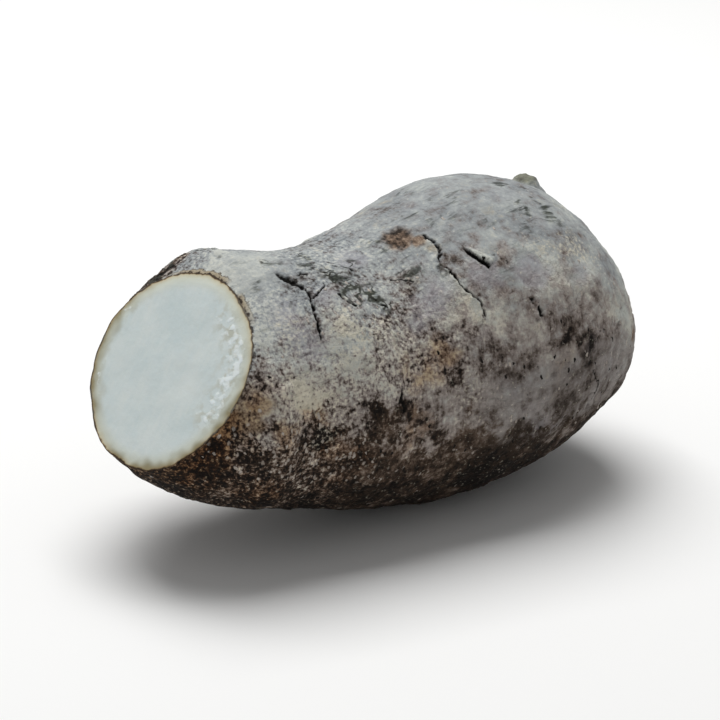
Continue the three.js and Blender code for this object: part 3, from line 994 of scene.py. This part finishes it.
    # The covers and marks, from the lowest to the top one. The near-black of the pits and of the hollows is
    # painted shade.
    colour = damp_and_shade
    for way, share, shade in (
            (BLEND, from_damp_shade, cork), (TINT, greyer, paint("#e9f3fa")), (BLEND, to_dust, dust),
            (TINT, rusty, paint("#edd0b0")), (BLEND, lilac, paint("#a6a3aa")),
            (TINT, kept["bud"], paint("#cbc8b4")), (BLEND, sandy, paint("#d8d2bf")),
            (TINT, earthy, paint("#d8bc94")), (BLEND, kept["root_scar"], scar),
            (TINT, stained, paint("#62665d")), (BLEND, scrawl, paint("#3b3c36")),
            (BLEND, pits_and_shade, paint("#1b1612")), (BLEND, grit, paint("#bbb0a5")),
            (BLEND, hollow_shade, paint("#12100d")), (BLEND, peeled, band), (BLEND, rim_line, paint("#2b2118"))):
        colour = add(tree, MIX, way, {"Factor": share, "A": colour, "B": shade})

    # Crumbs, fibres and grit stand up by tenths of a millimetre.
    height = 0.0
    for name, weight in (("crumb_edge", -0.25), ("crumb", 0.15), ("fine", 0.6), ("fibre", 0.45)):
        height = add(tree, MATH, SUM, [look[name], weight, height])
    height = add(tree, MATH, TIMES, [height, kept["crusty"]])
    for part, weight in ((pits_and_shade, -0.3), (grit, 0.25)):
        height = add(tree, MATH, SUM, [part, weight, height])
    bump = add(tree, "ShaderNodeBump", {}, {"Height": height, "Distance": 1 * MM, "Strength": 1.0})
    matt = add(tree, RANGE, {}, {"Value": grit, "To Min": 0.92, "To Max": 0.5})
    shader = add(tree, SHADER, {}, {
        "Base Color": colour, "Roughness": matt, "IOR": 1.45, "Specular IOR Level": 0.25, "Normal": bump})
    tree.links.new(shader.outputs[0], output.inputs["Surface"])
    return material


def moist_flesh():
    """Fresh-cut starchy flesh: bluish white, moist and a little see-through, with a creamy rim.

    The juice beads near the rim are painted near white, as glints.
    """
    material, tree, output = new_finish("moist_starchy_root_flesh")
    place = add(tree, "ShaderNodeTexCoord").outputs["Object"]
    from_rim, bleed, juice_and_glints = (
        add(tree, KEPT, {"attribute_name": name}).outputs["Fac"] for name in ("from_rim", "bleed", "juice_and_glints"))
    sliced = add(tree, KEPT, {"attribute_name": "sliced"}).outputs["Vector"]

    # What each pattern is laid on, its size in millimetres, its detail and its roughness.
    cloud, juice, ragged, slicing = (
        add(tree, NOISE, {}, {
            "Vector": laid_on, "Scale": every(size), "Detail": detail, "Roughness": rough})
        for laid_on, size, detail, rough in (
            (place, 9, 2, 0.5), (place, 1.9, 2, 0.4), (place, 2, 3, 0.5), (sliced, 1, 3, 0.6)))
    streaks = add(tree, MATH, SUM, [slicing, 0.5, cloud])
    starch = add(tree, RAMP, {}, {"Fac": streaks}, [(0.55, "#cfdbdb"), (0.95, "#dae2e0")])

    # From the rim inwards: a thin dark line, a cream ring, and then the white of the middle.
    uneven = add(tree, MATH, SUM, [ragged, -1.4, from_rim])
    uneven = add(tree, MATH, SUM, [uneven, 0.1, 0.07])
    rind = add(tree, RAMP, {}, {"Fac": uneven}, [
        (0.02, "#4b3b2b"), (0.035, "#b09d79"), (0.055, "#cfc9b0"), (0.16, "#d2d5c6")])
    inner = add(tree, RANGE, SMOOTH, {"Value": from_rim, "From Min": 0.6, "From Max": 4.8})

    # Beads of juice near the rim, painted near white as glints, and creamy mottles between them.
    creamy = add(tree, RANGE, SMOOTH, {"Value": ragged, "From Min": 0.45, "From Max": 0.65, "To Max": 0.9})
    creamy = add(tree, MATH, TIMES, [creamy, juice_and_glints])
    beads_and_glints = add(tree, MATH, SUM, [juice_and_glints, 0.45, juice])
    beads_and_glints = add(tree, RANGE, SMOOTH, {"Value": beads_and_glints, "From Min": 0.84, "From Max": 1.06, "To Max": 0.85})

    # The brown of the peel bleeds into the edge before the juice lies on it. The near white of the beads is
    # painted glints.
    colour = rind
    for way, share, shade in (
            (BLEND, inner, starch), (TINT, bleed, paint("#b5aa90")),
            (BLEND, creamy, paint("#bdbfb1")), (BLEND, beads_and_glints, paint("#f0f7f8"))):
        colour = add(tree, MIX, way, {"Factor": share, "A": colour, "B": shade})
    shine = add(tree, RANGE, {}, {"Value": beads_and_glints, "To Min": 0.5, "To Max": 0.2})
    height = 0.0
    for part, weight in ((beads_and_glints, 0.12), (ragged, 0.1)):
        height = add(tree, MATH, SUM, [part, weight, height])
    bump = add(tree, "ShaderNodeBump", {}, {"Height": height, "Distance": 1 * MM, "Strength": 1.0})
    shader = add(tree, SHADER, {}, {
        "Base Color": colour, "Roughness": shine, "IOR": 1.38, "Subsurface Weight": 0.3,
        "Subsurface Radius": (1.0, 0.9, 0.8), "Subsurface Scale": 2 * MM, "Normal": bump})
    tree.links.new(shader.outputs[0], output.inputs["Surface"])
    return material


# ---- the scene

def pale_floor():
    """A wide, plain, pale studio floor."""
    bpy.ops.mesh.primitive_plane_add(size=8)
    floor = bpy.context.active_object
    floor.name = "studio_floor"
    material, tree, output = new_finish("matt_white_studio_paper")
    shader = add(tree, SHADER, {}, {
        "Base Color": paint("#f4f4f3"), "Roughness": 0.9, "Specular IOR Level": 0.1})
    tree.links.new(shader.outputs[0], output.inputs["Surface"])
    floor.data.materials.append(material)


# The lamp: where it hangs and the place it shines on, in metres, how wide it is, and its power in watts.
# Then how brightly the room all round glows.
LAMP_PLACE, LAMP_AIM = Vector((0.11, 0.33, 1.05)), Vector((0, 0, 0.04))
LAMP_WIDE, LAMP_WATTS = 0.8, 12
ROOM_LIGHT = 0.3


def studio():
    """A square soft lamp overhead and a little behind, and a pale room all round."""
    bpy.ops.object.light_add(type="AREA", location=LAMP_PLACE)
    lamp = bpy.context.active_object
    lamp.name = "overhead"
    lamp.data.shape = "SQUARE"
    lamp.data.size = LAMP_WIDE
    lamp.data.energy = LAMP_WATTS
    lamp.rotation_euler = (LAMP_AIM - LAMP_PLACE).to_track_quat("-Z", "Y").to_euler()
    world = bpy.data.worlds.new("pale_room")
    bpy.context.scene.world = world
    world.use_nodes = True
    room = world.node_tree.nodes["Background"]
    room.inputs["Color"].default_value = (1, 1, 1, 1)
    room.inputs["Strength"].default_value = ROOM_LIGHT
    bpy.context.scene.view_settings.view_transform = "Standard"


# The camera looks at this point from this far off, in millimetres, and from this far round and up, in
# degrees.
LOOKS_AT = Vector((-3.3, 0, 38))
STANDS_OFF = 650
ROUND, UP = -38, 22
LENS = 132


def camera():
    """A long lens, looking down on the cut end from the front left."""
    bpy.ops.object.camera_add(rotation=(math.radians(90 - UP), 0, math.radians(ROUND)))
    eye = bpy.context.active_object
    backwards = eye.rotation_euler.to_matrix() @ Vector((0, 0, 1))
    eye.location = (LOOKS_AT + backwards * STANDS_OFF) * MM
    eye.data.lens = LENS
    eye.data.sensor_width = 36
    bpy.context.scene.camera = eye


camera()
tuber = rolled_blank()
grown(tuber)
halved_beside_marks(tuber, HALVED_ONCE)
halved_beside_marks(tuber, HALVED_TWICE)
bake_map(tuber, corners(tuber))
relieved(tuber)
only(tuber)
bpy.ops.object.shade_smooth()
tuber.data.materials.append(corky_skin())
tuber.data.materials.append(moist_flesh())
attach(tuber, "root")
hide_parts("tuber")
bpy.data.objects.remove(guide)

pale_floor()
studio()
